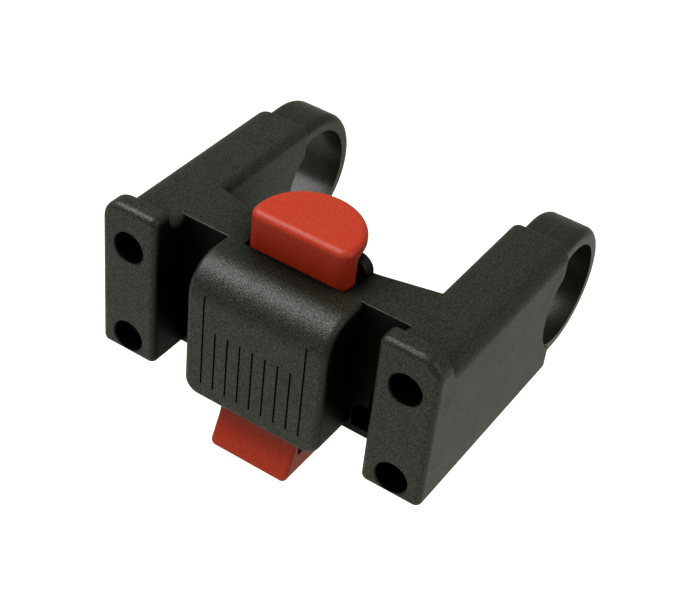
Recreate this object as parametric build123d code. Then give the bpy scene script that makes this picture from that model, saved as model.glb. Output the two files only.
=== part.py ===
from build123d import *
import os

# Bicycle handlebar bag mount.
# X runs along the handlebar, Y from the bag side (front) to the rider (rear), Z is up.
# The origin is on the handlebar axis, midway between the two clamps. Millimetres.

# Handlebar and clamp straps
bar_diameter = 26.0        # bore at rest, the thickest bar that fits
smallest_bar = 22.2        # thinnest bar that the straps still close on
clamp_spacing = 72.0       # between the middles of the two straps
strap_width = 12.4
strap_thickness = 3.8
strap_round = 2.1          # rounding of the outer strap edges
leg_reach = 34.0           # strap leg ends this far ahead of the bar axis
leg_block_start = 15.0     # the leg is as deep as its nut block from here forwards
slide_gap = 0.2            # free play between pieces that slide on each other

# Clamp screws and nuts
screw_diameter = 4.0
screw_length = 30.0
screw_pitch = 0.7
screw_past_nut = 5.8       # tip behind the nut
head_diameter = 7.0
head_height = 4.0
head_round = 0.4
socket_width = 3.0         # across the flats of the hexagon socket
socket_depth = 2.2
nut_width = 7.0            # square nut, across the flats
nut_thickness = 2.2
nut_station = 22.0         # front face of the nut, ahead of the bar axis
nut_depth = 0.5            # nut below the leg's outer face
nut_wall = 0.6             # leg between the nut and the leg's inner face
thread_gap = 0.05          # between screw and nut
nut_gap = 0.05             # between nut and its slot
head_gap = 0.5             # round the head in the key hole
shank_gap = 0.3            # round the shank in arm and leg
hole_chamfer = 0.3         # at the mouth of a key hole

# Arms and front plates
reach = 65.0               # bar axis to the front of the plates
arm_wall = 1.2             # beside the strap's leg
arm_roof = 2.0             # over the upper leg
arm_floor = 0.8            # under the lower leg
arm_end = 6.2              # rear end, ahead of the bar axis
arm_outer_round = 4.2
arm_inner_round = 2.4
arm_lower_round = 1.7
arm_end_round = 1.4
plate_thickness = 5.2
plate_rise = 4.4           # plate above the arm top
plate_corner = 5.2         # outer top corner
plate_inner_corner = 2.0
plate_front_round = 1.6
plate_rear_round = 1.0
plate_root = 2.2           # radius of the hollow rounding behind the plate
root_sink = 0.03           # which is set this far into arm and plate

# Crossbar
crossbar_setback = 11.4    # crossbar front behind the plate front
crossbar_depth = 10.2      # at the middle
crossbar_flare = 3.6       # extra depth where it meets the arms
flare_start = 14.0         # half width of the straight middle stretch
flare_round = 20.0         # plan rounding where the flare starts
crossbar_front_edge = 0.3  # roundings of its upper edges
crossbar_rear_edge = 0.8

# Relief pockets low in the crossbar front, beside the arms
pocket_height = 7.0
pocket_floor = 1.9         # wall under the pocket
pocket_depth = 7.0
pocket_inset = 0.4         # wall between pocket and block
pocket_arch = 3.0          # rounding of the pocket's inner top corner
pocket_ledge = 0.9         # flat ceiling between the arch and the slot
slot_height = 4.8          # narrow slot above the pocket, along the arm

# Middle block
block_width = 36.6
block_proud = 2.1          # block front ahead of the plate front
block_drop = 17.2          # underside, below the bar axis
block_brow = 8.5           # large rounding from top to front
block_corner = 4.0         # lower corners
block_edge = 1.7           # rounding along the front edges
groove_count = 9
groove_pitch = 3.32
groove_width = 0.45
groove_depth = 0.35
groove_foot = 4.45         # lower groove ends above the block's underside
groove_length = 16.65      # the middle grooves
long_groove_length = 25.2  # the first and the last groove

# Release slide: thumb pad, stem and latch nose in one moulding
stem_width = 26.0
stem_thickness = 4.0
stem_corner = 2.8          # plan rounding of the two front corners
pad_rise = 9.4             # top of the pad above the arm top
pad_thickness = 2.4
pad_edge = 1.7             # rounding round the pad's top
pad_root = 1.6             # rounding under the pad
release_travel = 3.2
stop_gap = 0.1             # nose under the block at rest
nose_inset = 2.4           # nose narrower than the stem, each side
nose_height = 13.3
nose_tip_setback = 0.6     # tip behind the block front
nose_bend_rise = 8.6       # the front face is steep above this height over the bottom
nose_bend_back = 3.7       # and lies this far behind the tip there
nose_bend_round = 12.0
nose_crown_back = 4.0      # at the top it lies this far behind the tip
nose_heel = 12.0           # flat bottom from tip to heel
nose_heel_round = 1.8
nose_corner = 1.5          # lower corners, seen from the front
nose_edge = 0.7            # rounding round the front face
tail_drop = 4.0            # the nose's rear face is this high, under the stem
notch_skin = 0.8           # nose ahead of the side notches
rib_width = 1.4            # guide ribs under the block, in the notches
rib_length = 6.0
rib_drop = 7.4             # below the block's underside
rib_inset = 1.0            # inside the nose's side face
rail_width = 2.0           # rails on the stem's rear, which run on the cover
rail_spacing = 19.0
rail_height = 24.0

# Return spring, in a window of the stem
spring_diameter = 5.6
spring_wire = 0.7
spring_turns = 7
spring_length = 15.0
spring_room = 1.2          # beside the spring in its window
window_top = 10.0          # above the bar axis
ledge_height = 3.0
spigot_gap = 0.3           # round the spigots inside the coil
spigot_height = 1.6
seat_height = 4.0          # of the stem's boss over the spring

# Rear cover and its screws
cover_thickness = 3.0
cover_flange = 5.3         # beside the channel
cover_gap = 0.1
hump_margin = 0.7          # the cover's arched top is wider than the stem, each side
hump_corner = 3.7
cover_screw_diameter = 2.2
cover_screw_length = 9.0
cover_head_diameter = 4.2
cover_head_height = 1.5
cover_head_round = 0.5
recess_width = 0.7         # cross recess of the head
recess_span = 2.1
recess_depth = 0.75
cover_screw_edge = 2.7     # screw axis from the cover's side edge
cover_screw_inset = 5.0    # screw axis from the crossbar's top and bottom
cover_screw_gap = 0.05
cover_head_gap = 0.1

# Places that follow from the sizes above
bar_radius = bar_diameter / 2
strap_radius = bar_radius + strap_thickness
grip_travel = bar_diameter - smallest_bar
clamp_x = clamp_spacing / 2
screw_z = strap_radius - nut_depth - nut_width / 2
leg_floor = screw_z - nut_width / 2 - nut_wall
leg_front = -leg_reach
leg_pocket_front = leg_front - grip_travel - slide_gap
screw_tip = -nut_station + nut_thickness + screw_past_nut
seat_y = screw_tip - screw_length
key_hole = head_diameter + 2 * head_gap
screw_hole = screw_diameter + 2 * shank_gap
plate_front = -reach
plate_rear = plate_front + plate_thickness
arm_rear = -arm_end
arm_top = strap_radius + slide_gap + arm_roof
arm_bottom = -strap_radius - slide_gap - arm_floor
arm_inner = clamp_x - strap_width / 2 - slide_gap - arm_wall
arm_outer = clamp_x + strap_width / 2 + slide_gap + arm_wall
crossbar_front = plate_front + crossbar_setback
crossbar_rear = crossbar_front + crossbar_depth
block_front = plate_front - block_proud
block_bottom = -block_drop
stem_front = crossbar_front + slide_gap
stem_rear = stem_front + stem_thickness
pad_top = arm_top + pad_rise
pad_bottom = pad_top - pad_thickness
hump_top = pad_bottom - release_travel - slide_gap
nose_width = stem_width - 2 * nose_inset
nose_top = block_bottom - stop_gap
nose_bottom = nose_top - nose_height
nose_tip = block_front + nose_tip_setback
rib_front = nose_tip + nose_crown_back + notch_skin + slide_gap
rib_rear = rib_front + rib_length
rib_bottom = block_bottom - rib_drop
channel_half = stem_width / 2 + slide_gap
cover_half = channel_half + cover_flange
cover_front = crossbar_rear - cover_thickness
cover_seat = crossbar_rear - cover_head_height
cover_bore = cover_screw_diameter + 2 * cover_screw_gap
rail_rear = cover_front - slide_gap
window_width = spring_diameter + 2 * spring_room
ledge_top = window_top - spring_length
window_bottom = ledge_top - ledge_height - 2 * slide_gap
spring_y = (crossbar_front + cover_front) / 2
spigot_diameter = spring_diameter - 2 * spring_wire - 2 * spigot_gap

far = 2 * (reach + clamp_spacing)
overcut = slide_gap        # a cut or root runs this far past the face that it opens or joins
near = slide_gap / 20      # tolerance when edges are picked by place


def block_between(x0, x1, y0, y1, z0, z1):
    """Box between two opposite corners."""
    centre = Pos((x0 + x1) / 2, (y0 + y1) / 2, (z0 + z1) / 2)
    return centre * Box(x1 - x0, y1 - y0, z1 - z0)


def rod_y(diameter, y0, y1, x=0, z=0):
    """Round bar along Y between two stations."""
    return Pos(x, (y0 + y1) / 2, z) * Rot(90, 0, 0) * Cylinder(diameter / 2, y1 - y0)


def rod_z(diameter, z0, z1, x=0, y=0):
    """Round bar along Z between two heights."""
    return Pos(x, y, (z0 + z1) / 2) * Cylinder(diameter / 2, z1 - z0)


def outline(points, rounds):
    """Closed face through the points; rounds maps a point's number to its radius."""
    face = make_face(Polyline(*points, close=True))
    for number, radius in rounds.items():
        corner = face.vertices().sort_by_distance((*points[number], 0))[0]
        face = fillet(corner, radius)
    return face


def across(face, x0, x1):
    """Extrude a (y, z) face along X."""
    return extrude(Plane.YZ.offset(x0) * face, amount=x1 - x0)


def along(face, y0, y1):
    """Extrude an (x, z) face along Y."""
    return extrude(Plane.XZ.offset(-y1) * face, amount=y1 - y0)


def upward(face, z0, z1):
    """Extrude an (x, y) face along Z."""
    return extrude(Plane.XY.offset(z0) * face, amount=z1 - z0)


def both_sides(solid):
    """The solid and its mirror image in the middle plane."""
    return solid + mirror(solid, about=Plane.YZ)


def plate_outline():
    """Front outline of the right plate, an (x, z) face."""
    plate_top = arm_top + plate_rise
    corners = [
        (arm_inner, arm_bottom),
        (arm_outer, arm_bottom),
        (arm_outer, plate_top),
        (arm_inner, plate_top),
    ]
    rounds = {0: arm_lower_round, 1: arm_lower_round, 2: plate_corner, 3: plate_inner_corner}
    return outline(corners, rounds)


def plate_rooting():
    """Hollow rounding behind the right plate, over the arm's top and down its rounded edges."""
    front = plate_rear - plate_rear_round - overcut
    bottom = arm_top - overcut
    rear = plate_rear + plate_root - root_sink
    top = arm_top + plate_root - root_sink
    corner = outline([(front, bottom), (rear, bottom), (rear, top), (front, top)], {})
    corner -= Pos(rear, top) * Circle(plate_root)
    inner = arm_inner + arm_inner_round
    outer = arm_outer - arm_outer_round
    rooting = across(corner, inner, outer)
    inner_axis = Axis((inner, 0, arm_top - arm_inner_round), (0, -1, 0))
    outer_axis = Axis((outer, 0, arm_top - arm_outer_round), (0, 1, 0))
    rooting += revolve(Plane.YZ.offset(inner) * corner, inner_axis, 90)
    rooting += revolve(Plane.YZ.offset(outer) * corner, outer_axis, 90)
    return rooting & along(plate_outline(), front, rear)


def arm_blank():
    """Right arm and its front plate, without holes."""
    section = [
        (arm_inner, arm_bottom),
        (arm_outer, arm_bottom),
        (arm_outer, arm_top),
        (arm_inner, arm_top),
    ]
    rounds = {0: arm_lower_round, 1: arm_lower_round, 2: arm_outer_round, 3: arm_inner_round}
    arm = along(outline(section, rounds), plate_front + plate_thickness / 2, arm_rear)
    arm = fillet(arm.faces().sort_by(Axis.Y)[-1].edges(), arm_end_round)
    plate = along(plate_outline(), plate_front, plate_rear)
    plate = fillet(plate.faces().sort_by(Axis.Y)[0].edges(), plate_front_round)
    rear_edges = plate.faces().sort_by(Axis.Y)[-1].edges()
    upper_edges = [edge for edge in rear_edges if edge.center().Z > arm_top]
    plate = fillet(upper_edges, plate_rear_round)
    return arm + plate + plate_rooting()


def crossbar_blank():
    """Crossbar between the arms, with the cover's share of its rear still on."""
    slope = crossbar_flare / (arm_inner - flare_start)
    end_rear = crossbar_rear + slope * (clamp_x - flare_start)
    plan = [
        (-clamp_x, crossbar_front),
        (clamp_x, crossbar_front),
        (clamp_x, end_rear),
        (flare_start, crossbar_rear),
        (-flare_start, crossbar_rear),
        (-clamp_x, end_rear),
    ]
    bar = upward(outline(plan, {3: flare_round, 4: flare_round}), arm_bottom, arm_top)
    upper_edges = bar.faces().sort_by(Axis.Z)[-1].edges()
    rear_edges = [
        edge for edge in upper_edges
        if edge.center().Y > crossbar_front + near and abs(edge.center().X) < clamp_x - near
    ]
    bar = fillet(rear_edges, crossbar_rear_edge)
    front_edge = bar.edges().filter_by(Axis.X).group_by(Axis.Y)[0].sort_by(Axis.Z)[-1]
    return fillet(front_edge, crossbar_front_edge)


def middle_block():
    """Block ahead of the crossbar, with its large brow and rounded front edges."""
    half = block_width / 2
    inside = crossbar_front + block_edge
    block = block_between(-half, half, block_front, inside, block_bottom, arm_top)
    lower = block.edges().filter_by(Axis.Y).group_by(Axis.Z)[0]
    block = fillet(lower, block_corner)
    brow = block.edges().filter_by(Axis.X).group_by(Axis.Z)[-1].sort_by(Axis.Y)[0]
    block = fillet(brow, block_brow)

    def on_rim(edge):
        """True for the edges that run round the front, over the brow and back along the top."""
        place = edge.center()
        if place.Y > inside - near:
            return False
        on_side = abs(place.X) > half - near and place.Z > block_bottom + block_corner + near
        on_foot = place.Y < block_front + near and place.Z < block_bottom + block_corner
        return on_side or on_foot

    return fillet([edge for edge in block.edges() if on_rim(edge)], block_edge)


def groove_cutters():
    """Fine upright grooves on the block's front; the outer two are longer."""
    foot = block_bottom + groove_foot
    cutters = []
    for number in range(groove_count):
        x = (number - (groove_count - 1) / 2) * groove_pitch
        outer = number in (0, groove_count - 1)
        length = long_groove_length if outer else groove_length
        cutters.append(block_between(
            x - groove_width / 2, x + groove_width / 2,
            block_front - groove_depth, block_front + groove_depth,
            foot, foot + length,
        ))
    return cutters


def relief_pocket():
    """Right pocket low in the crossbar front, with the slot above it along the arm."""
    inner = block_width / 2 + pocket_inset
    slot = inner + pocket_arch + pocket_ledge
    floor = arm_bottom + pocket_floor
    ceiling = floor + pocket_height
    points = [
        (inner, floor),
        (arm_inner, floor),
        (arm_inner, ceiling + slot_height),
        (slot, ceiling + slot_height),
        (slot, ceiling),
        (inner, ceiling),
    ]
    shape = outline(points, {5: pocket_arch})
    return along(shape, crossbar_front - overcut, crossbar_front + pocket_depth)


def clamp_cutters():
    """Bar bore, strap pockets and screw holes of both arms."""
    cutters = [Rot(0, 90, 0) * Cylinder(bar_radius, far)]
    half = strap_width / 2 + slide_gap
    inner = leg_floor - slide_gap
    outer = strap_radius + slide_gap
    for side in (-1, 1):
        x = side * clamp_x
        for level in (-1, 1):
            z = level * screw_z
            low, high = sorted((level * inner, level * outer))
            cutters.append(block_between(x - half, x + half, leg_pocket_front, 0, low, high))
            cutters.append(rod_y(key_hole, plate_front - overcut, seat_y, x, z))
            mouth = Cone(key_hole / 2, key_hole / 2 + 2 * hole_chamfer, 2 * hole_chamfer)
            cutters.append(Pos(x, plate_front, z) * Rot(90, 0, 0) * mouth)
            cutters.append(rod_y(screw_hole, seat_y - overcut, leg_pocket_front + overcut, x, z))
    return cutters


def cover_screw_places():
    """(x, z) of the four cover screws."""
    x = cover_half - cover_screw_edge
    heights = (arm_top - cover_screw_inset, arm_bottom + cover_screw_inset)
    return [(side * x, z) for z in heights for side in (-1, 1)]


def guide_rib():
    """Right rib under the block, which runs in a notch of the latch nose."""
    outer = nose_width / 2 - rib_inset
    root = block_bottom + block_edge
    return block_between(outer - rib_width, outer, rib_front, rib_rear, rib_bottom, root)


def spring_ledge():
    """Ledge in the channel that carries the spring, with its spigot."""
    half = window_width / 2 - 2 * slide_gap
    ledge = block_between(
        -half, half, crossbar_front - overcut, rail_rear, ledge_top - ledge_height, ledge_top,
    )
    return ledge + rod_z(spigot_diameter, ledge_top - overcut, ledge_top + spigot_height, 0, spring_y)


def make_body():
    """Main moulding: arms, plates, crossbar and block."""
    body = both_sides(arm_blank()) + crossbar_blank() + middle_block()
    body -= clamp_cutters()
    body -= block_between(-channel_half, channel_half, crossbar_front, 0, -far, far)
    recess = cover_half + cover_gap
    body -= block_between(-recess, recess, cover_front, 0, -far, far)
    body -= both_sides(relief_pocket())
    body -= groove_cutters()
    tip = cover_seat - cover_screw_length - slide_gap
    body -= [rod_y(cover_bore, tip, cover_front + overcut, x, z) for x, z in cover_screw_places()]
    body += both_sides(guide_rib())
    return body + spring_ledge()


def make_rear_cover():
    """Plate that closes the slide's channel; its arched top stands above the crossbar."""
    slab = block_between(-cover_half, cover_half, cover_front, 0, arm_bottom, arm_top)
    half = channel_half + hump_margin
    foot = arm_top - hump_corner
    hump = [(-half, foot), (half, foot), (half, hump_top), (-half, hump_top)]
    arch = along(outline(hump, {2: hump_corner, 3: hump_corner}), cover_front, crossbar_rear)
    cover = crossbar_blank() & slab
    cover += arch
    well = cover_head_diameter + 2 * cover_head_gap
    for x, z in cover_screw_places():
        cover -= rod_y(cover_bore, cover_front - overcut, crossbar_rear, x, z)
        cover -= rod_y(well, cover_seat, 0, x, z)
    return cover


def make_cover_screw(x, z):
    """Pan head screw for plastic, driven in from the rear."""
    head = rod_y(cover_head_diameter, cover_seat, crossbar_rear)
    head = fillet(head.edges().sort_by(Axis.Y)[-1], cover_head_round)
    floor = crossbar_rear - recess_depth
    screw = head + rod_y(cover_screw_diameter, cover_seat - cover_screw_length, floor)
    for wide, high in ((recess_span, recess_width), (recess_width, recess_span)):
        screw -= block_between(-wide / 2, wide / 2, floor, 0, -high / 2, high / 2)
    return Pos(x, 0, z) * screw


def pad_and_stem():
    """Thumb pad and stem: a rounded D in plan, cut away under the pad behind the stem."""
    half = stem_width / 2
    front = [(-half, stem_front), (half, stem_front), (half, stem_rear), (-half, stem_rear)]
    round_rear = Circle(half) - Pos(0, -half) * Rectangle(stem_width, stem_width)
    plan = outline(front, {0: stem_corner, 1: stem_corner}) + Pos(0, stem_rear) * round_rear
    blank = upward(plan, nose_top - tail_drop, pad_top)
    blank = fillet(blank.faces().sort_by(Axis.Z)[-1].edges(), pad_edge)
    under_pad = [(stem_rear, -far), (stem_rear, pad_bottom), (far, pad_bottom), (far, -far)]
    return blank - across(outline(under_pad, {1: pad_root}), -far, far)


def latch_nose():
    """Nose under the block, with side notches for the body's guide ribs."""
    half = nose_width / 2
    profile = [
        (nose_tip, nose_bottom),
        (nose_tip + nose_bend_back, nose_bottom + nose_bend_rise),
        (nose_tip + nose_crown_back, nose_top),
        (stem_rear, nose_top),
        (stem_rear, nose_top - tail_drop),
        (nose_tip + nose_heel, nose_bottom),
    ]
    nose = across(outline(profile, {1: nose_bend_round, 5: nose_heel_round}), -half, half)
    front = [(-half, nose_bottom), (half, nose_bottom), (half, nose_top), (-half, nose_top)]
    nose &= along(outline(front, {0: nose_corner, 1: nose_corner}), -far, far)

    def on_front(edge):
        """True for the edges round the front face, apart from the top one."""
        place = edge.center()
        return place.Y < nose_tip + nose_crown_back - near and place.Z < nose_top - near

    nose = fillet([edge for edge in nose.edges() if on_front(edge)], nose_edge)
    notch = block_between(
        half - rib_inset - rib_width - slide_gap, half + overcut,
        rib_front - slide_gap, rib_rear + slide_gap,
        rib_bottom - slide_gap, nose_top + overcut,
    )
    return nose - both_sides(notch)


def make_release_slide():
    """Thumb pad, stem and latch nose, with the spring's window and the rear rails."""
    slide = pad_and_stem() + latch_nose()
    root = stem_rear - overcut
    for side in (-1, 1):
        x = side * rail_spacing / 2
        slide += block_between(
            x - rail_width / 2, x + rail_width / 2, root, rail_rear, -rail_height / 2, rail_height / 2,
        )
    half = window_width / 2
    slide += block_between(-half, half, root, rail_rear, window_top, window_top + seat_height)
    slide -= block_between(-half, half, stem_front - overcut, cover_front, window_bottom, window_top)
    return slide + rod_z(spigot_diameter, window_top - spigot_height, window_top + overcut, 0, spring_y)


def make_return_spring():
    """Compression spring with ground ends, between ledge and stem."""
    radius = (spring_diameter - spring_wire) / 2
    pitch = spring_length / spring_turns
    path = Helix(pitch, spring_length, radius)
    coil = sweep(Plane(path @ 0, z_dir=path % 0) * Circle(spring_wire / 2), path, is_frenet=True)
    coil &= rod_z(2 * spring_diameter, 0, spring_length)
    return Pos(0, spring_y, ledge_top) * coil


def make_clamp_strap(x):
    """Strap round the rear of the bar; its legs end in nut blocks inside the arm."""
    half = strap_width / 2
    band = Pos(-leg_block_start / 2, 0) * Rectangle(leg_block_start, 2 * strap_radius)
    hoop = band + Circle(strap_radius)
    hoop -= Pos(-leg_block_start - far / 2, 0) * Rectangle(far, far)
    strap = across(hoop, x - half, x + half)
    rim = [
        edge for edge in strap.edges()
        if abs(edge.center().X - x) > half - near and edge.center().Y > -leg_block_start + near
    ]
    strap = fillet(rim, strap_round)
    strap -= block_between(x - far, x + far, -far, 0, -leg_floor, leg_floor)
    slot = nut_width / 2 + nut_gap
    slot_front = -nut_station - nut_gap
    slot_rear = slot_front + nut_thickness + 2 * nut_gap
    for level in (-1, 1):
        z = level * screw_z
        low, high = sorted((level * leg_floor, level * strap_radius))
        strap += block_between(x - half, x + half, leg_front, -leg_block_start, low, high)
        strap -= rod_y(screw_hole, leg_front - overcut, screw_tip + grip_travel, x, z)
        low, high = sorted((level * (screw_z - slot), level * (strap_radius + overcut)))
        strap -= block_between(x - slot, x + slot, slot_front, slot_rear, low, high)
    return strap - Rot(0, 90, 0) * Cylinder(bar_radius, far)


def make_clamp_screw(x, z):
    """Socket head screw, head forward in the key hole."""
    head_front = seat_y - head_height
    head = rod_y(head_diameter, head_front, seat_y)
    head = fillet(head.edges().sort_by(Axis.Y)[0], head_round)
    shank = rod_y(screw_diameter, seat_y - overcut, screw_tip)
    shank = chamfer(shank.edges().sort_by(Axis.Y)[-1], screw_pitch)
    hexagon = RegularPolygon(socket_width / 2, 6, major_radius=False)
    socket = along(hexagon, head_front - overcut, head_front + socket_depth)
    return Pos(x, 0, z) * (head + shank - socket)


def make_clamp_nut(x, z):
    """Square nut in the strap's leg."""
    half = nut_width / 2
    nut = block_between(-half, half, -nut_station, -nut_station + nut_thickness, -half, half)
    nut -= rod_y(screw_diameter + 2 * thread_gap, -far, far)
    return Pos(x, 0, z) * nut


def make_parts():
    """All pieces by node name."""
    parts = {
        "body": make_body(),
        "rear_cover": make_rear_cover(),
        "release_slide": make_release_slide(),
        "return_spring": make_return_spring(),
    }
    for number, (x, z) in enumerate(cover_screw_places(), start=1):
        parts[f"cover_screw_{number}"] = make_cover_screw(x, z)
    for side, sign in (("left", -1), ("right", 1)):
        x = sign * clamp_x
        parts[f"clamp_strap_{side}"] = make_clamp_strap(x)
        for place, level in (("upper", 1), ("lower", -1)):
            z = level * screw_z
            parts[f"clamp_screw_{side}_{place}"] = make_clamp_screw(x, z)
            parts[f"clamp_nut_{side}_{place}"] = make_clamp_nut(x, z)
    return parts


def main():
    os.makedirs("parts", exist_ok=True)
    for name, solid in make_parts().items():
        export_step(solid, f"parts/{name}.step")


main()
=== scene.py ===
# %% [markdown]
# A bicycle handlebar bag mount, dressed for a studio picture.
#
# The mount is a handful of injection mouldings held by steel screws. Its shapes come ready made
# from the imported parts, in metres, with the handlebar along X, the bag towards -Y and Z up. This
# lesson adds what shapes alone can't give: the eroded grain of black plastic, the satin of the red
# latch, screws with real threads, a coiled return spring, the fine lines that a mould leaves
# on the straps, a camera and plain light.

# %% Load the imported parts
import math

import bmesh
import bpy
from mathutils import Matrix, Vector


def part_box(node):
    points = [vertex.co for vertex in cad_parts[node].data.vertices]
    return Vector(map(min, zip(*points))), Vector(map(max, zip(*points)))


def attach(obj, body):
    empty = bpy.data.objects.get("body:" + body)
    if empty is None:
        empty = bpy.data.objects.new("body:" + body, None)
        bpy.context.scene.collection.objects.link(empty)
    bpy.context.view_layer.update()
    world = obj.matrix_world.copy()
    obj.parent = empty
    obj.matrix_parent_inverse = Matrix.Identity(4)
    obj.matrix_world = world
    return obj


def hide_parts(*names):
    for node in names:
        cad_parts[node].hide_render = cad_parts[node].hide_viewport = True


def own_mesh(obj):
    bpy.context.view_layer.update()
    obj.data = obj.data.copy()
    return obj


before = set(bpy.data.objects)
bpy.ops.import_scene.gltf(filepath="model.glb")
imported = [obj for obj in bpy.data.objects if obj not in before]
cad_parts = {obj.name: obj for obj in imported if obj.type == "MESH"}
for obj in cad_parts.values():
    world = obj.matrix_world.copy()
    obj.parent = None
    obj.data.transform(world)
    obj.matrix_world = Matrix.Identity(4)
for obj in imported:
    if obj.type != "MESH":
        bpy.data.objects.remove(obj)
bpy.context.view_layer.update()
MM = 0.001

# %% [markdown]
# Two helpers serve every finish below. Colours are written as the sRGB hex values that a paint
# chart would give, and Blender wants linear light, so one function converts them. Node trees are
# easier to read when adding a node, setting it and wiring it is one step, so the other does that.


# %% Helpers for colours and nodes
def linear(hex_colour):
    """Linear RGBA from an sRGB hex value such as '#2b2c2a'."""
    channels = [int(hex_colour[i:i + 2], 16) / 255 for i in (1, 3, 5)]
    return [c / 12.92 if c <= 0.04045 else ((c + 0.055) / 1.055) ** 2.4 for c in channels] + [1.0]


def add_node(tree, kind, inputs=None, **settings):
    """Add a node; inputs holds values to set or sockets to link, by socket name or number."""
    made = tree.nodes.new(kind)
    for name, value in settings.items():
        setattr(made, name, value)
    for name, value in (inputs or {}).items():
        if isinstance(value, bpy.types.NodeSocket):
            tree.links.new(value, made.inputs[name])
        else:
            made.inputs[name].default_value = value
    return made


# %% [markdown]
# Black glass-filled polyamide is moulded against spark-eroded steel. The erosion leaves tiny round
# pits, which scatter the light: flat faces look dark grey and even, and where a rounding turns
# through a lamp's reflection, the grain breaks the highlight into sparks. The pigment itself is
# almost black, with a trace of green, so most of what the eye sees is light thrown back by the skin.
# A noise texture at the grain's size drives a bump, the gloss and the colour, and a broad one varies
# the roughness the way flow in the mould does. Real erosion is about 0.1 mm across, too fine for
# this picture, so it is drawn about three times as coarse. Where neighbouring walls stand close,
# ambient occlusion takes gloss and colour away, most of all on the body: this is painted shade,
# which darkens the recesses beyond what the lamps do.


# %% The eroded plastic
NOISE_LOW, NOISE_HIGH = 0.3, 0.7        # a noise texture seldom leaves this range
FLOW_SIZE = 9 * MM
RECESS_REACH = 30 * MM                  # walls nearer than this count as neighbours
RECESS_DEEP, RECESS_OPEN = 0.6, 1.0     # share of free view deep in a recess and out in the open
POLYAMIDE_IOR = 1.53


def moulded_plastic(
        name, dark, light, grain_mm, depth_mm, shine, sparkle, roughness, spread, painted_recess_level):
    """Injection moulded plastic with an eroded grain.

    Sparkle is how much the shine varies with the grain, spread how much the roughness varies with
    the flow in the mould, and the last argument the share of gloss and colour that is left deep in a
    recess, where painted shade darkens it.
    """
    material = bpy.data.materials.new(name)
    material.use_nodes = True
    tree = material.node_tree
    shader = tree.nodes["Principled BSDF"]
    place = add_node(tree, "ShaderNodeTexCoord").outputs["Object"]
    grain = add_node(tree, "ShaderNodeTexNoise", {
        "Vector": place, "Scale": 1 / (grain_mm * MM), "Detail": 2.0, "Roughness": 0.55,
    })
    flow = add_node(tree, "ShaderNodeTexNoise", {
        "Vector": place, "Scale": 1 / FLOW_SIZE, "Detail": 3.0, "Roughness": 0.6,
    })
    mix = add_node(tree, "ShaderNodeMapRange", {
        "Value": grain.outputs["Fac"], "From Min": NOISE_LOW, "From Max": NOISE_HIGH,
    })
    colour = add_node(tree, "ShaderNodeMix", {
        0: mix.outputs["Result"], 6: linear(dark), 7: linear(light),
    }, data_type="RGBA")
    # Painted shade: ambient occlusion darkens the colour and the gloss where walls stand close.
    shelter = add_node(tree, "ShaderNodeAmbientOcclusion", {"Distance": RECESS_REACH}, samples=8)
    painted_recess_shade = add_node(tree, "ShaderNodeMapRange", {
        "Value": shelter.outputs["AO"], "From Min": RECESS_DEEP, "From Max": RECESS_OPEN,
        "To Min": painted_recess_level,
    })
    colour = add_node(tree, "ShaderNodeMix", {
        0: painted_recess_shade.outputs["Result"], 6: linear("#000000"), 7: colour.outputs[2],
    }, data_type="RGBA")
    rough = add_node(tree, "ShaderNodeMapRange", {
        "Value": flow.outputs["Fac"], "From Min": NOISE_LOW, "From Max": NOISE_HIGH,
        "To Min": roughness - spread, "To Max": roughness + spread,
    })
    gloss = add_node(tree, "ShaderNodeMapRange", {
        "Value": grain.outputs["Fac"], "From Min": NOISE_LOW, "From Max": NOISE_HIGH,
        "To Min": shine - sparkle, "To Max": shine + sparkle,
    })
    gloss = add_node(tree, "ShaderNodeMath", {
        0: gloss.outputs["Result"], 1: painted_recess_shade.outputs["Result"]}, operation="MULTIPLY")
    bump = add_node(tree, "ShaderNodeBump", {
        "Height": grain.outputs["Fac"], "Distance": depth_mm * MM,
    })
    tree.links.new(gloss.outputs[0], shader.inputs["Specular IOR Level"])
    tree.links.new(colour.outputs[2], shader.inputs["Base Color"])
    tree.links.new(rough.outputs["Result"], shader.inputs["Roughness"])
    tree.links.new(bump.outputs["Normal"], shader.inputs["Normal"])
    shader.inputs["IOR"].default_value = POLYAMIDE_IOR
    return material


body_plastic = moulded_plastic(
    "eroded_black_polyamide", "#060704", "#33382a", grain_mm=0.31, depth_mm=0.1,
    shine=0.5, sparkle=0.3, roughness=0.37, spread=0.03, painted_recess_level=0.1)
strap_plastic = moulded_plastic(
    "satin_black_polyamide", "#171a13", "#262a20", grain_mm=0.5, depth_mm=0.02,
    shine=0.5, sparkle=0.1, roughness=0.27, spread=0.04, painted_recess_level=0.9)
latch_plastic = moulded_plastic(
    "satin_red_polyamide", "#c83010", "#d73c1b", grain_mm=0.5, depth_mm=0.05,
    shine=0.5, sparkle=0.1, roughness=0.45, spread=0.04, painted_recess_level=0.6)
print("plastics:", body_plastic.name, strap_plastic.name, latch_plastic.name)


# %% [markdown]
# The screws and nuts are zinc plated steel, and the return spring is drawn spring wire. Both are
# bright metal, and a plating bath or a drawing die never leaves them quite even, so a cloudy noise
# about a millimetre across shifts colour and roughness a little.


# %% The metals
CLOUD_SIZE = 1.2 * MM
CLOUD_SPREAD = 0.06                     # of the roughness, up and down


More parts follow.
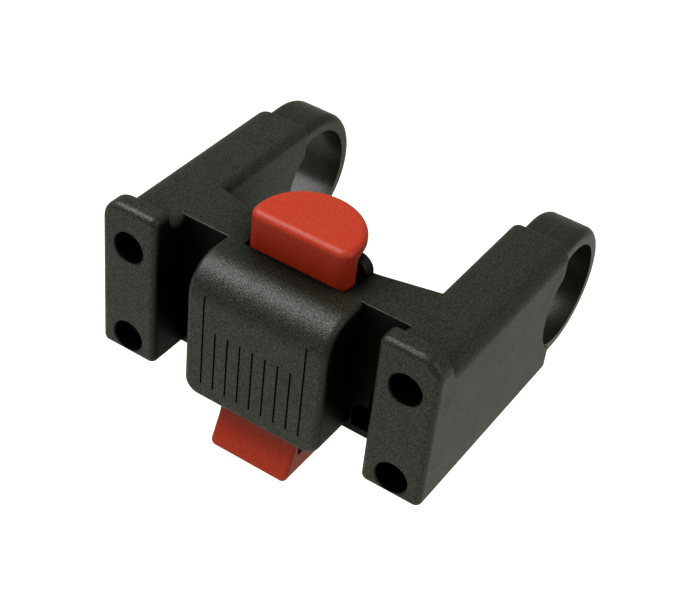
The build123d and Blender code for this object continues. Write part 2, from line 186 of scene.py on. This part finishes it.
def plated_steel(name, dark, light, roughness):
    """Zinc plated or drawn steel: a bright metal with a slightly uneven, cloudy skin."""
    material = bpy.data.materials.new(name)
    material.use_nodes = True
    tree = material.node_tree
    shader = tree.nodes["Principled BSDF"]
    place = add_node(tree, "ShaderNodeTexCoord").outputs["Object"]
    cloud = add_node(tree, "ShaderNodeTexNoise", {
        "Vector": place, "Scale": 1 / CLOUD_SIZE, "Detail": 3.0, "Roughness": 0.6,
    })
    colour = add_node(tree, "ShaderNodeMix", {
        0: cloud.outputs["Fac"], 6: linear(dark), 7: linear(light),
    }, data_type="RGBA")
    rough = add_node(tree, "ShaderNodeMapRange", {
        "Value": cloud.outputs["Fac"], "From Min": NOISE_LOW, "From Max": NOISE_HIGH,
        "To Min": roughness - CLOUD_SPREAD, "To Max": roughness + CLOUD_SPREAD,
    })
    tree.links.new(colour.outputs[2], shader.inputs["Base Color"])
    tree.links.new(rough.outputs["Result"], shader.inputs["Roughness"])
    shader.inputs["Metallic"].default_value = 1.0
    return material


zinc_steel = plated_steel("zinc_plated_steel", "#a9aaa6", "#c9c9c2", 0.34)
spring_steel = plated_steel("drawn_spring_steel", "#8f9094", "#b4b5b8", 0.28)
print("metals:", zinc_steel.name, spring_steel.name)

# %% [markdown]
# Most parts are right as they are and only need their finish. Body and rear cover come from eroded
# moulds. The clamp straps come from a smoother one and are a little glossier, because they have to
# slide in the arms. Thumb pad, stem and latch nose are one red moulding.

# %% Finishes of the parts
finishes = {"body": body_plastic, "rear_cover": body_plastic, "release_slide": latch_plastic}
for name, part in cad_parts.items():
    if name.startswith("clamp_strap"):
        finish = strap_plastic
    elif name == "return_spring":
        finish = spring_steel
    else:
        finish = finishes.get(name, zinc_steel)
    part.data.materials.clear()
    part.data.materials.append(finish)
print("finished:", len(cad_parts))


# %% [markdown]
# Three kinds of piece follow a path that a node tree can draw: the thread of a screw, the coil of
# the spring and the parting line of a strap. A tree hangs on an object as a modifier, and its
# inputs are set by the identifiers of their sockets before Blender first evaluates it. The result
# is then turned into a plain mesh, so that what is exported later is only vertices and faces.


# %% A node tree becomes a plain mesh
def start_tree(name, sizes):
    """A Geometry Nodes tree with geometry in and out and the named sizes as inputs."""
    tree = bpy.data.node_groups.new(name, "GeometryNodeTree")
    tree.interface.new_socket("Geometry", in_out="INPUT", socket_type="NodeSocketGeometry")
    for size in sizes:
        tree.interface.new_socket(size, in_out="INPUT", socket_type="NodeSocketFloat")
    tree.interface.new_socket("Place", in_out="INPUT", socket_type="NodeSocketVector")
    tree.interface.new_socket("Finish", in_out="INPUT", socket_type="NodeSocketMaterial")
    tree.interface.new_socket("Geometry", in_out="OUTPUT", socket_type="NodeSocketGeometry")
    return tree, add_node(tree, "NodeGroupInput").outputs


def plain_mesh(name, tree, start, **sizes):
    """Run a tree on a starting mesh and keep the result as a plain mesh object."""
    piece = bpy.data.objects.new(name, start)
    bpy.context.scene.collection.objects.link(piece)
    modifier = piece.modifiers.new(tree.name, "NODES")
    modifier.node_group = tree
    for socket in tree.interface.items_tree:
        if socket.name in sizes:
            modifier[socket.identifier] = sizes[socket.name]
    evaluated = piece.evaluated_get(bpy.context.evaluated_depsgraph_get())
    made = bpy.data.meshes.new_from_object(evaluated)
    piece.modifiers.remove(modifier)
    piece.data = made
    return piece


# %% [markdown]
# A socket head screw is turned and rolled from wire: a knurled head with a rounded rim and a
# hexagon for the key, and a thread along its whole shank. Only the head shows, deep in the key hole
# of a plate. The head is a stack of rings with one point for each knurl flank, which makes the
# socket's rim and the knurl easy to draw; it lies along Y, with its seat at zero.

# %% The screw's head
HEAD_POINTS = 72                        # 36 knurls, 12 points on each side of the hexagon
HEAD_TURN = 2 * math.pi / HEAD_POINTS
HEAD_RADIUS = 3.5 * MM
HEAD_HEIGHT = 4.0 * MM
HEAD_CHAMFER = 0.2 * MM                 # at the seat
HEAD_RIM = 0.4 * MM                     # rounding round the face
RIM_STEPS = 4
KNURL_DEPTH = 0.09 * MM
KNURL_FOOT = 0.45 * MM                  # the knurl begins this far above the seat
KNURL_TOP = 0.95 * MM                   # and ends this far below the face
KNURL_FADE = 0.2 * MM                   # over this length
SOCKET_FLAT = 1.5 * MM                  # from the middle to a flat
SOCKET_DEPTH = 2.2 * MM
SOCKET_LEAD = 0.2 * MM                  # depth of the bevel that leads the key in
SOCKET_FLARE = 0.25 * MM                # and its width
SOCKET_POINT = 0.5 * MM                 # depth of the drilled cone in the socket's floor


def round_ring(radius, knurl=0.0):
    """Radii round a ring; every second point lies deeper by the knurl."""
    return [radius - knurl * (number % 2) for number in range(HEAD_POINTS)]


def hexagon_ring(flat):
    """Radii round a hexagon with the given distance from its middle to a flat."""
    sixth = math.pi / 3
    return [flat / math.cos((number * HEAD_TURN) % sixth - sixth / 2) for number in range(HEAD_POINTS)]


def screw_head():
    """Mesh of the head, skinned over rings from the seat round the rim and into the socket."""
    face = -HEAD_HEIGHT
    rings = [
        (0.0, round_ring(HEAD_RADIUS - HEAD_CHAMFER)),
        (-HEAD_CHAMFER, round_ring(HEAD_RADIUS)),
        (-KNURL_FOOT, round_ring(HEAD_RADIUS, KNURL_DEPTH)),
        (face + KNURL_TOP, round_ring(HEAD_RADIUS, KNURL_DEPTH)),
        (face + KNURL_TOP - KNURL_FADE, round_ring(HEAD_RADIUS)),
    ]
    for step in range(RIM_STEPS + 1):
        angle = step * math.pi / 2 / RIM_STEPS
        radius = HEAD_RADIUS - HEAD_RIM * (1 - math.cos(angle))
        rings.append((face + HEAD_RIM * (1 - math.sin(angle)), round_ring(radius)))
    rings.append((face, hexagon_ring(SOCKET_FLAT + SOCKET_FLARE)))
    rings.append((face + SOCKET_LEAD, hexagon_ring(SOCKET_FLAT)))
    rings.append((face + SOCKET_DEPTH, hexagon_ring(SOCKET_FLAT)))
    angles = [number * HEAD_TURN for number in range(HEAD_POINTS)]
    directions = [(math.cos(angle), math.sin(angle)) for angle in angles]
    solid = bmesh.new()
    skin = []
    for y, radii in rings:
        skin.append([
            solid.verts.new((radius * x, y, radius * z)) for radius, (x, z) in zip(radii, directions)
        ])
    for lower, upper in zip(skin, skin[1:]):
        for number in range(HEAD_POINTS):
            after = (number + 1) % HEAD_POINTS
            solid.faces.new((lower[number], lower[after], upper[after], upper[number]))
    seat_middle = solid.verts.new((0, 0, 0))
    socket_middle = solid.verts.new((0, face + SOCKET_DEPTH + SOCKET_POINT, 0))
    for ring, middle in ((skin[0], seat_middle), (skin[-1], socket_middle)):
        for number in range(HEAD_POINTS):
            solid.faces.new((ring[number], ring[(number + 1) % HEAD_POINTS], middle))
    bmesh.ops.recalc_face_normals(solid, faces=solid.faces)
    mesh = bpy.data.meshes.new("screw_head")
    solid.to_mesh(mesh)
    solid.free()
    return mesh


# %% [markdown]
# The thread is a ridge wound round a thin core. A spiral curve carries a diamond whose diagonal is
# the pitch, so that neighbouring turns just meet and leave the V grooves of a metric thread. The
# spiral node winds to the left unless it is reversed, and a screw needs a right-hand thread.

# %% The screw's thread
THREAD_STEPS = 28                       # points on each turn
thread_tree, sizes = start_tree("rolled_thread", ["Diameter", "Length", "Pitch"])
half_pitch = add_node(thread_tree, "ShaderNodeMath", {0: sizes["Pitch"], 1: 0.5}, operation="MULTIPLY")
crest_radius = add_node(thread_tree, "ShaderNodeMath", {
    0: sizes["Diameter"], 1: 0.5}, operation="MULTIPLY")
middle_radius = add_node(thread_tree, "ShaderNodeMath", {
    0: crest_radius.outputs[0], 1: half_pitch.outputs[0]}, operation="SUBTRACT")
turns = add_node(thread_tree, "ShaderNodeMath", {
    0: sizes["Length"], 1: sizes["Pitch"]}, operation="DIVIDE")
spiral = add_node(thread_tree, "GeometryNodeCurveSpiral", {
    "Resolution": THREAD_STEPS, "Rotations": turns.outputs[0], "Start Radius": middle_radius.outputs[0],
    "End Radius": middle_radius.outputs[0], "Height": sizes["Length"], "Reverse": True})
upright = add_node(thread_tree, "GeometryNodeSetCurveNormal", {
    "Curve": spiral.outputs[0]}, mode="Z_UP")
diamond = add_node(thread_tree, "GeometryNodeCurvePrimitiveCircle", {
    "Resolution": 4, "Radius": half_pitch.outputs[0]})
ridge = add_node(thread_tree, "GeometryNodeCurveToMesh", {
    "Curve": upright.outputs[0], "Profile Curve": diamond.outputs[0], "Fill Caps": True})
middle = add_node(thread_tree, "ShaderNodeMath", {0: sizes["Length"], 1: 0.5}, operation="MULTIPLY")
lift = add_node(thread_tree, "ShaderNodeCombineXYZ", {"Z": middle.outputs[0]})
core = add_node(thread_tree, "GeometryNodeMeshCylinder", {
    "Vertices": THREAD_STEPS, "Radius": middle_radius.outputs[0], "Depth": sizes["Length"]})
core = add_node(thread_tree, "GeometryNodeTransform", {
    "Geometry": core.outputs["Mesh"], "Translation": lift.outputs[0]})
shank = add_node(thread_tree, "GeometryNodeJoinGeometry", {0: core.outputs[0]})
thread_tree.links.new(ridge.outputs[0], shank.inputs[0])
shank = add_node(thread_tree, "GeometryNodeTransform", {
    "Geometry": shank.outputs[0], "Rotation": (-math.pi / 2, 0, 0)})
screw = add_node(thread_tree, "GeometryNodeJoinGeometry", {0: shank.outputs[0]})
thread_tree.links.new(sizes["Geometry"], screw.inputs[0])
screw = add_node(thread_tree, "GeometryNodeTransform", {
    "Geometry": screw.outputs[0], "Translation": sizes["Place"]})
screw = add_node(thread_tree, "GeometryNodeRealizeInstances", {"Geometry": screw.outputs[0]})
screw = add_node(thread_tree, "GeometryNodeSetMaterial", {
    "Geometry": screw.outputs[0], "Material": sizes["Finish"]})
add_node(thread_tree, "NodeGroupOutput", {"Geometry": screw.outputs[0]})
print("thread tree:", len(thread_tree.nodes), "nodes")

# %% [markdown]
# Each of the four screws turns by itself, so each is a piece of its own that rides on its own body.
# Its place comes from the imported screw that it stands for: the middle of that part's box across the
# axis, and its length from tip to head along it. The last pitch before the tip is left off, where a
# real thread runs out.

# %% Four clamp screws
SCREW_DIAMETER = 4.0 * MM
SCREW_PITCH = 0.7 * MM
for side in ("left", "right"):
    for level in ("upper", "lower"):
        node = f"clamp_screw_{side}_{level}"
        low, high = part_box(node)
        seat = low[1] + HEAD_HEIGHT
        place = ((low[0] + high[0]) / 2, seat, (low[2] + high[2]) / 2)
        piece = plain_mesh(f"threaded_screw_{side}_{level}", thread_tree, screw_head(), **{
            "Diameter": SCREW_DIAMETER, "Length": high[1] - seat - SCREW_PITCH, "Pitch": SCREW_PITCH,
            "Place": place, "Finish": zinc_steel,
        })
        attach(piece, f"screw_{side}_{level}")
        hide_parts(node)
        print(piece.name, len(piece.data.polygons), "faces")

# %% [markdown]
# The return spring sits in a window of the stem and pushes the latch up. A compression spring has
# closed ends: the first and the last turn lie against their neighbours and are ground flat. A float
# curve along the spiral gives each point its height, slow at both ends and steep between, and the
# wire that would reach past the ends is pressed flat, as the grinding wheel leaves it.

# %% The spring's coil
SPRING_TURNS = 9
CLOSED_SHARE = 1 / SPRING_TURNS         # one closed turn at each end
CLOSED_RISE = 0.055                     # and what it climbs, as a share of the whole
COIL_STEPS = 36                         # points on each turn
WIRE_SIDES = 14
coil_tree, sizes = start_tree("closed_coil", ["Diameter", "Wire", "Length", "Turns"])
wire_radius = add_node(coil_tree, "ShaderNodeMath", {0: sizes["Wire"], 1: 0.5}, operation="MULTIPLY")
across = add_node(coil_tree, "ShaderNodeMath", {
    0: sizes["Diameter"], 1: sizes["Wire"]}, operation="SUBTRACT")
coil_radius = add_node(coil_tree, "ShaderNodeMath", {0: across.outputs[0], 1: 0.5}, operation="MULTIPLY")
spiral = add_node(coil_tree, "GeometryNodeCurveSpiral", {
    "Resolution": COIL_STEPS, "Rotations": sizes["Turns"], "Start Radius": coil_radius.outputs[0],
    "End Radius": coil_radius.outputs[0], "Height": sizes["Length"], "Reverse": True})
along = add_node(coil_tree, "GeometryNodeSplineParameter")
climb = add_node(coil_tree, "ShaderNodeFloatCurve", {"Value": along.outputs["Factor"]})
line = climb.mapping.curves[0]
line.points.new(CLOSED_SHARE, CLOSED_RISE)
line.points.new(1 - CLOSED_SHARE, 1 - CLOSED_RISE)
climb.mapping.update()
free = add_node(coil_tree, "ShaderNodeMath", {
    0: sizes["Length"], 1: wire_radius.outputs[0]}, operation="SUBTRACT")
start = add_node(coil_tree, "ShaderNodeMath", {0: wire_radius.outputs[0], 1: 0.5}, operation="MULTIPLY")
height = add_node(coil_tree, "ShaderNodeMath", {
    0: climb.outputs[0], 1: free.outputs[0], 2: start.outputs[0]}, operation="MULTIPLY_ADD")
spot = add_node(coil_tree, "ShaderNodeSeparateXYZ", {0: add_node(
    coil_tree, "GeometryNodeInputPosition").outputs[0]})
lifted = add_node(coil_tree, "ShaderNodeCombineXYZ", {
    "X": spot.outputs["X"], "Y": spot.outputs["Y"], "Z": height.outputs[0]})
spiral = add_node(coil_tree, "GeometryNodeSetPosition", {
    "Geometry": spiral.outputs[0], "Position": lifted.outputs[0]})
section = add_node(coil_tree, "GeometryNodeCurvePrimitiveCircle", {
    "Resolution": WIRE_SIDES, "Radius": wire_radius.outputs[0]})
wire = add_node(coil_tree, "GeometryNodeCurveToMesh", {
    "Curve": spiral.outputs[0], "Profile Curve": section.outputs[0], "Fill Caps": True})
ground = add_node(coil_tree, "ShaderNodeClamp", {
    "Value": spot.outputs["Z"], "Min": 0.0, "Max": sizes["Length"]})
flattened = add_node(coil_tree, "ShaderNodeCombineXYZ", {
    "X": spot.outputs["X"], "Y": spot.outputs["Y"], "Z": ground.outputs[0]})
wire = add_node(coil_tree, "GeometryNodeSetPosition", {
    "Geometry": wire.outputs[0], "Position": flattened.outputs[0]})
wire = add_node(coil_tree, "GeometryNodeTransform", {
    "Geometry": wire.outputs[0], "Translation": sizes["Place"]})
wire = add_node(coil_tree, "GeometryNodeRealizeInstances", {"Geometry": wire.outputs[0]})
wire = add_node(coil_tree, "GeometryNodeSetMaterial", {
    "Geometry": wire.outputs[0], "Material": sizes["Finish"]})
add_node(coil_tree, "NodeGroupOutput", {"Geometry": wire.outputs[0]})
print("coil tree:", len(coil_tree.nodes), "nodes")

# %% [markdown]
# Pressing the pad closes the spring by the latch's travel: its lower end stays on the body's ledge
# and the rest follows the stem. Here the spring rides on the frame, with a mesh of its own.

# %% The return spring
SPRING_WIRE = 0.7 * MM
low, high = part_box("return_spring")
spring_length = high[2] - low[2]
spring_foot = ((low[0] + high[0]) / 2, (low[1] + high[1]) / 2, low[2])
spring = plain_mesh("coiled_return_spring", coil_tree, bpy.data.meshes.new("empty"), **{
    "Diameter": high[0] - low[0], "Wire": SPRING_WIRE, "Length": spring_length,
    "Turns": float(SPRING_TURNS), "Place": spring_foot, "Finish": spring_steel,
})
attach(spring, "frame")
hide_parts("return_spring")
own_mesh(spring)
print(spring.name, len(spring.data.polygons), "faces")

# %% [markdown]
# A strap is moulded between two halves that meet in its middle plane. Where they meet, a little
# plastic creeps into the joint and leaves a fine raised line round the hoop. A node tree sweeps a
# thin round bead along the hoop's outside, sunk so deep that only its crest stands out, and both
# ends of it run on into the arm's slot. The path is a little flatter than the hoop, so that the
# line sinks away at the very rear, where it would make the strap longer than it is. The line has a
# finish of its own, paler than the strap's: this is painted highlight, for the light that its crest
# catches. As it is part of its strap, it rides on the strap.

# %% The straps' parting lines
HOOP_STEPS = 48
BEAD_SIDES = 8
BEAD_RADIUS = 0.2 * MM
BEAD_SINK = 0.1 * MM                    # its middle lies this deep under the skin, above and below
BEAD_REAR_SINK = 0.23 * MM              # and this deep at the hoop's rear
BEAD_LEG = 9.0 * MM                     # straight run ahead of the hoop
# Painted highlight: the bead's black is paler than the strap's, for the light on its crest.
bead_painted_highlight_plastic = moulded_plastic(
    "paler_black_polyamide_painted_highlight", "#2e322a", "#3a3f35", grain_mm=0.5, depth_mm=0.02,
    shine=0.5, sparkle=0.1, roughness=0.35, spread=0.04, painted_recess_level=0.9)
bead_tree, sizes = start_tree("parting_bead", ["Bead"])
path = add_node(bead_tree, "GeometryNodeMeshToCurve", {"Mesh": sizes["Geometry"]})
section = add_node(bead_tree, "GeometryNodeCurvePrimitiveCircle", {
    "Resolution": BEAD_SIDES, "Radius": sizes["Bead"]})
bead = add_node(bead_tree, "GeometryNodeCurveToMesh", {
    "Curve": path.outputs[0], "Profile Curve": section.outputs[0], "Fill Caps": True})
bead = add_node(bead_tree, "GeometryNodeTransform", {
    "Geometry": bead.outputs[0], "Translation": sizes["Place"]})
bead = add_node(bead_tree, "GeometryNodeRealizeInstances", {"Geometry": bead.outputs[0]})
bead = add_node(bead_tree, "GeometryNodeSetMaterial", {
    "Geometry": bead.outputs[0], "Material": sizes["Finish"]})
add_node(bead_tree, "NodeGroupOutput", {"Geometry": bead.outputs[0]})
print("bead tree:", len(bead_tree.nodes), "nodes")


def hoop_path(radius):
    """Mesh of one line just under a hoop's skin, from its upper leg round the rear to its lower one."""
    height = radius - BEAD_SINK
    rear = radius - BEAD_REAR_SINK
    points = [(0, -BEAD_LEG, height)]
    for step in range(HOOP_STEPS + 1):
        angle = math.pi / 2 - step * math.pi / HOOP_STEPS
        points.append((0, rear * math.cos(angle), height * math.sin(angle)))
    points.append((0, -BEAD_LEG, -height))
    mesh = bpy.data.meshes.new("hoop_path")
    mesh.from_pydata(points, [(number, number + 1) for number in range(len(points) - 1)], [])
    return mesh


for side in ("left", "right"):
    low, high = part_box(f"clamp_strap_{side}")
    radius = (high[2] - low[2]) / 2
    place = ((low[0] + high[0]) / 2, high[1] - radius, (low[2] + high[2]) / 2)
    piece = plain_mesh(f"strap_parting_line_{side}", bead_tree, hoop_path(radius), **{
        "Bead": BEAD_RADIUS, "Place": place, "Finish": bead_painted_highlight_plastic,
    })
    for face in piece.data.polygons:
        face.use_smooth = True
    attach(piece, f"strap_{side}")
    print(piece.name, len(piece.data.polygons), "faces")

# %% [markdown]
# The camera stands where the photographer stood: to the right of the middle and well above, about
# 39 degrees. The mount leans a little in the picture, so the camera is rolled. Lens and place were
# found by laying the model's straight edges and round holes over the photograph's.

# %% Camera
CAMERA_PLACE = Vector((133.3, -269.6, 219.5)) * MM
CAMERA_TARGET = Vector((14.0, -52.5, 16.9)) * MM
CAMERA_ROLL = 7.16      # degrees
CAMERA_LENS = 77.8      # millimetres
SENSOR_WIDTH = 36.0     # millimetres
NEAREST_SIGHT = 0.01    # metres
camera = bpy.data.objects.new("camera", bpy.data.cameras.new("camera"))
bpy.context.scene.collection.objects.link(camera)
camera.data.lens = CAMERA_LENS
camera.data.sensor_width = SENSOR_WIDTH
camera.data.clip_start = NEAREST_SIGHT
sight = (CAMERA_TARGET - CAMERA_PLACE).to_track_quat("-Z", "Y").to_matrix().to_4x4()
camera.matrix_world = Matrix.Translation(CAMERA_PLACE) @ sight @ Matrix.Rotation(
    math.radians(CAMERA_ROLL), 4, "Z")
bpy.context.scene.camera = camera
print("camera at", tuple(camera.location))

# %% [markdown]
# The mount hangs on its bar above a pale floor, far enough for the picture to show no shadow on it.
# The floor does more than fill the background: dark plastic has little colour of its own, and its
# upright faces are grey because they mirror the floor in front of them. Light Path lets the floor
# look white to the camera and a little brighter in gloss and through glass, while to the rest of
# the light it is ordinary pale paint that keeps its shadows. The paint has a trace of green, and so
# has the black that mirrors it.

# %% Floor
FLOOR_DROP = 0.25       # metres below the bar's axis
FLOOR_SIZE = 4.0        # metres
FLOOR_GLOW = 0.1        # added in gloss, where 1 is white
STUDIO_TINT = linear("#f8fff0")
bpy.ops.mesh.primitive_plane_add(size=FLOOR_SIZE, location=(0, 0, -FLOOR_DROP))
floor = bpy.context.object
floor.name = "floor"
floor_paint = bpy.data.materials.new("pale_studio_floor")
floor_paint.use_nodes = True
tree = floor_paint.node_tree
tree.nodes.clear()
rays = add_node(tree, "ShaderNodeLightPath").outputs
mirrored = add_node(tree, "ShaderNodeMath", {
    0: rays["Is Glossy Ray"], 1: rays["Is Transmission Ray"]}, operation="MAXIMUM").outputs[0]
glow = add_node(tree, "ShaderNodeMath", {
    0: mirrored, 1: FLOOR_GLOW, 2: rays["Is Camera Ray"]}, operation="MULTIPLY_ADD").outputs[0]
paint = add_node(tree, "ShaderNodeBsdfDiffuse", {"Color": linear("#d3d6cc")}).outputs[0]
light = add_node(tree, "ShaderNodeEmission", {"Color": STUDIO_TINT, "Strength": glow}).outputs[0]
both = add_node(tree, "ShaderNodeAddShader", {0: paint, 1: light}).outputs[0]
add_node(tree, "ShaderNodeOutputMaterial", {"Surface": both})
floor.data.materials.append(floor_paint)
print("floor at", -FLOOR_DROP, "m")


# %% [markdown]
# Two softboxes light the mount. The key is large and hangs high on the left, slightly in front: it
# gives the red pad its bright top and darker front, and draws a broad highlight along the block's
# brow. The other hangs on the right, half as high, and only lifts what faces it, such as the outer
# side of the right arm. The arm keeps it off the side of the latch nose.


# %% Light
def softbox(name, direction, distance, width, height, watts):
    """A rectangular lamp that faces the middle of the mount."""
    lamp = bpy.data.objects.new(name, bpy.data.lights.new(name, "AREA"))
    lamp.data.shape = "RECTANGLE"
    lamp.data.size = width
    lamp.data.size_y = height
    lamp.data.energy = watts
    bpy.context.scene.collection.objects.link(lamp)
    towards = Vector(direction).normalized()
    lamp.location = CAMERA_TARGET + towards * distance
    lamp.rotation_mode = "QUATERNION"
    lamp.rotation_quaternion = (-towards).to_track_quat("-Z", "Y")
    return lamp


key_lamp = softbox(
    "key_softbox", direction=(-0.52, -0.22, 0.83), distance=0.7, width=0.55, height=0.55, watts=4.0)
side_lamp = softbox(
    "side_softbox", direction=(0.88, 0.05, 0.47), distance=0.8, width=0.5, height=0.5, watts=1.2)
print("lamps:", key_lamp.data.energy, side_lamp.data.energy, "W")

# %% [markdown]
# The world stands for the walls and the ceiling of the studio. It sends dim, even light from all
# round, which the tops of the arms mirror. It has the floor's trace of green, so to the camera it
# is a little brighter than white, where that trace can't be seen.

# %% World
WORLD_LEVEL = 0.26      # where 1 is white
CAMERA_LEVEL = 1.2      # what the camera sees of it
world = bpy.data.worlds.new("studio")
bpy.context.scene.world = world
world.use_nodes = True
tree = world.node_tree
tree.nodes.clear()
rays = add_node(tree, "ShaderNodeLightPath").outputs
level = add_node(tree, "ShaderNodeMapRange", {
    "Value": rays["Is Camera Ray"], "To Min": WORLD_LEVEL, "To Max": CAMERA_LEVEL}).outputs["Result"]
sky = add_node(tree, "ShaderNodeBackground", {"Color": STUDIO_TINT, "Strength": level}).outputs[0]
add_node(tree, "ShaderNodeOutputWorld", {"Surface": sky})
bpy.context.scene.view_settings.view_transform = "Standard"
print("world level:", WORLD_LEVEL)
